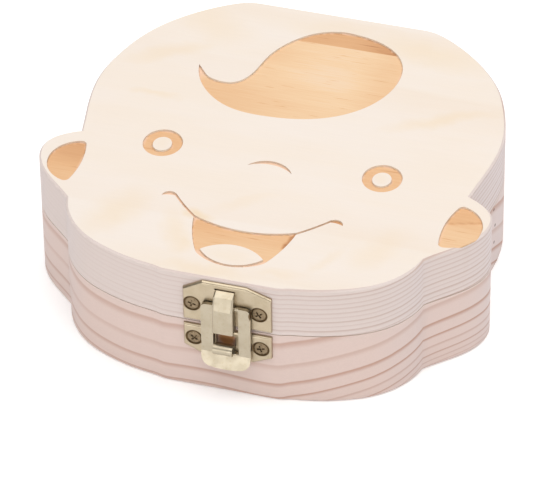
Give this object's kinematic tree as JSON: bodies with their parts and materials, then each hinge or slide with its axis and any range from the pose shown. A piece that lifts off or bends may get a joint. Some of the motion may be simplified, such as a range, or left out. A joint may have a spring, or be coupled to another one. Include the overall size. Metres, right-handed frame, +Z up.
{
  "type": "milk tooth keepsake box",
  "caption": "Head-shaped pine keepsake box for milk teeth: hinged lid engraved with a smiling face, small wells in the base, and a swinging hasp latch at the chin.",
  "frame": {"origin": "middle of the head outline, on the underside that the box stands on", "axes": "+Z up through the lid, +Y towards the hinges at the crown, -Y towards the latch at the chin, +X to the right seen from the latch"},
  "size_m": [0.122, 0.1244, 0.0373],
  "materials": {
    "pine": "bare sanded pine, engraved places toasted orange-brown",
    "pale_brass": "pale brass plating on thin stamped sheet, softly polished",
    "screw_brass": "darker brass plating, dull"
  },
  "bodies": {
    "base": {"base_tray": "pine", "catch_plate": "pale_brass", "hinge_left_base_leaf": "pale_brass", "hinge_left_pin": "pale_brass", "latch_screw_lower_left": "screw_brass", "hinge_left_base_screw_1": "screw_brass", "hinge_left_base_screw_2": "screw_brass", "hinge_right_base_leaf": "pale_brass", "hinge_right_pin": "pale_brass", "latch_screw_lower_right": "screw_brass", "hinge_right_base_screw_1": "screw_brass", "hinge_right_base_screw_2": "screw_brass"},
    "lid": {"lid_panel": "pine", "latch_plate": "pale_brass", "hinge_left_lid_leaf": "pale_brass", "latch_screw_upper_left": "screw_brass", "hinge_left_lid_screw_1": "screw_brass", "hinge_left_lid_screw_2": "screw_brass", "hinge_right_lid_leaf": "pale_brass", "latch_screw_upper_right": "screw_brass", "hinge_right_lid_screw_1": "screw_brass", "hinge_right_lid_screw_2": "screw_brass"},
    "hasp": {"hasp": "pale_brass"}
  },
  "joints": [
    {"name": "lid_hinge", "type": "hinge", "parent": "base", "child": "lid", "pos_m": [0, 0.05995, 0.0221], "axis": [-1, 0, 0], "range_deg": [0, 110]},
    {"name": "hasp_pivot", "type": "hinge", "parent": "lid", "child": "hasp", "pos_m": [0.002, -0.06005, 0.0298], "axis": [-1, 0, 0], "range_deg": [0, 170]}
  ]
}
